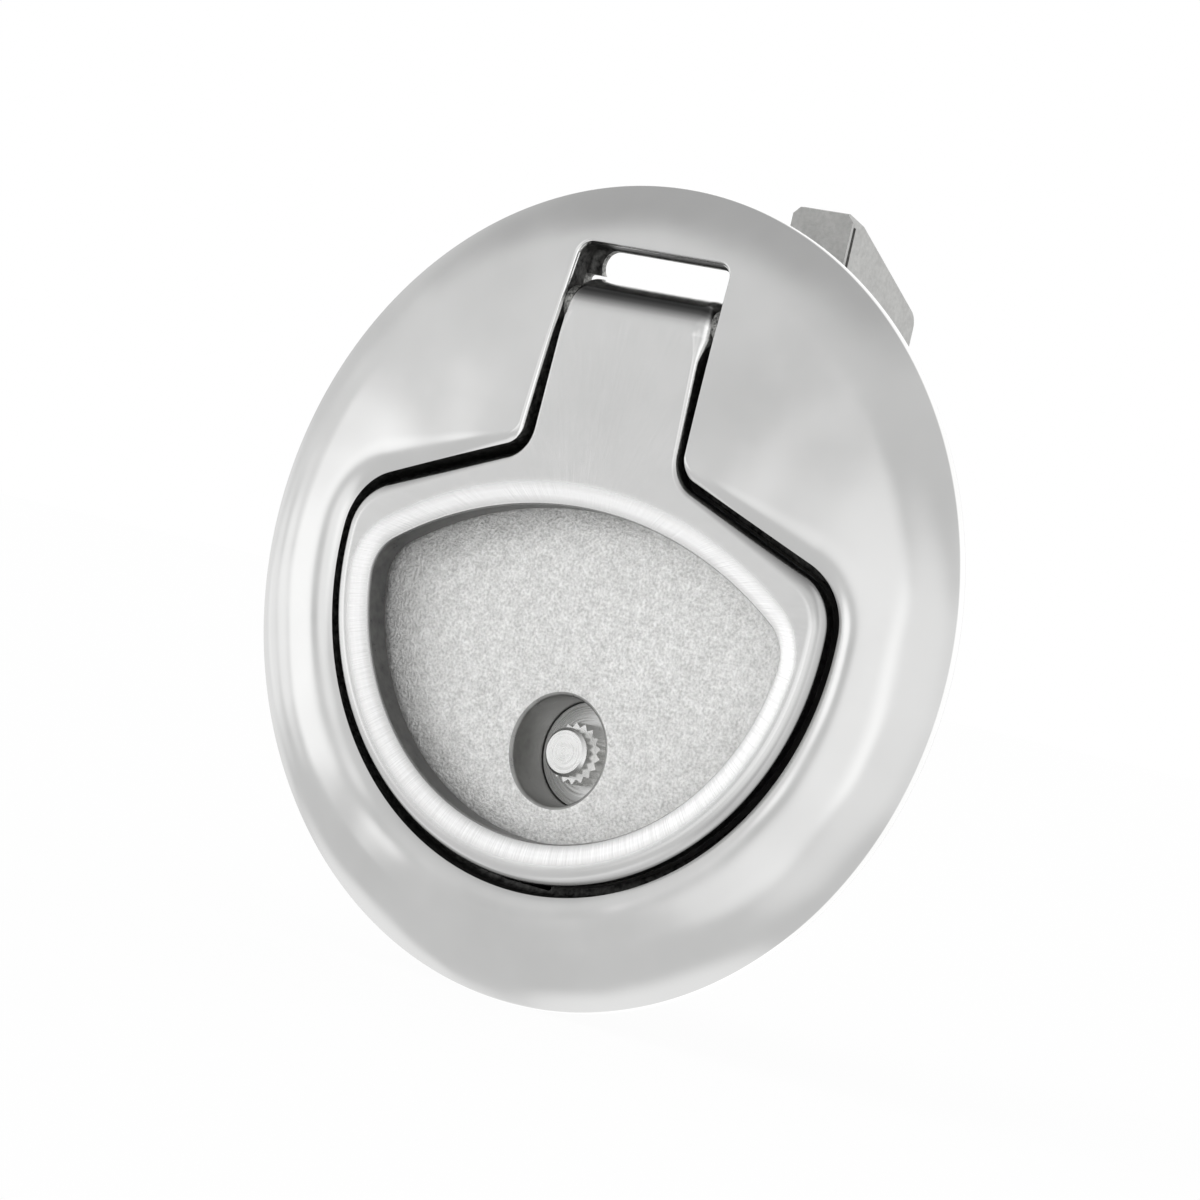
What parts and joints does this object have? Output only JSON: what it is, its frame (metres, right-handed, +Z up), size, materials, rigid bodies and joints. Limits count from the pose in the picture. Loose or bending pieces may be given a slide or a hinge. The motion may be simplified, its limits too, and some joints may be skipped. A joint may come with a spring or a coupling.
{
  "type": "locking slam latch",
  "caption": "Round flush-mounted locking slam latch in stainless steel: hinged pull ring in a domed flange, key lock in the ring, sprung ramped bolt behind the panel.",
  "frame": {"origin": "on the barrel's axis, in the plane of the flange's back, which seats on the panel", "axes": "+X right, +Y into the panel, +Z up towards the hinge and the bolt; the pull ring faces -Y"},
  "size_m": [0.0666, 0.04, 0.0693],
  "materials": {
    "polished_steel": "polished cast stainless steel",
    "cast_steel": "bead-blasted cast stainless steel",
    "plain_steel": "turned stainless steel",
    "seal_rubber": "black rubber"
  },
  "bodies": {
    "body": {"flange_body": "polished_steel", "panel_seal": "seal_rubber", "hinge_pin": "plain_steel", "bolt_spring": "plain_steel", "spring_rod": "plain_steel", "bolt_housing": "cast_steel", "housing_gasket": "seal_rubber", "screw_upper_right": "plain_steel", "screw_upper_left": "plain_steel", "screw_lower_left": "plain_steel", "screw_lower_right": "plain_steel", "spindle_seal": "seal_rubber", "friction_washer": "plain_steel"},
    "handle": {"pull_handle": "polished_steel"},
    "retractor": {"retractor": "cast_steel"},
    "bolt": {"bolt": "cast_steel"},
    "lock": {"lock_spindle": "plain_steel", "lock_cam": "cast_steel", "cam_clip": "plain_steel"}
  },
  "joints": [
    {"name": "handle_hinge", "type": "hinge", "parent": "body", "child": "handle", "pos_m": [0, -0.0016, 0.0226], "axis": [-1, 0, 0], "range_deg": [0, 55], "stiffness_Nm_per_rad": 0.06, "springref_deg": -28.65},
    {"name": "retractor_slide", "type": "slide", "parent": "body", "child": "retractor", "axis": [0, 0, -1], "range_m": [0, 0.0106], "deforming": ["bolt_spring"]},
    {"name": "bolt_slam", "type": "slide", "parent": "retractor", "child": "bolt", "axis": [0, 0, -1], "range_m": [0, 0.0105], "stiffness_N_per_m": 400, "springref_m": -0.008, "deforming": ["bolt_spring"]},
    {"name": "lock_turn", "type": "hinge", "parent": "body", "child": "lock", "pos_m": [0, 0.004, -0.0128], "axis": [0, 1, 0], "range_deg": [0, 90]}
  ],
  "couplings": [
    {"joint": "retractor_slide", "follows": "handle_hinge", "m_per_rad": 0.010938}
  ]
}
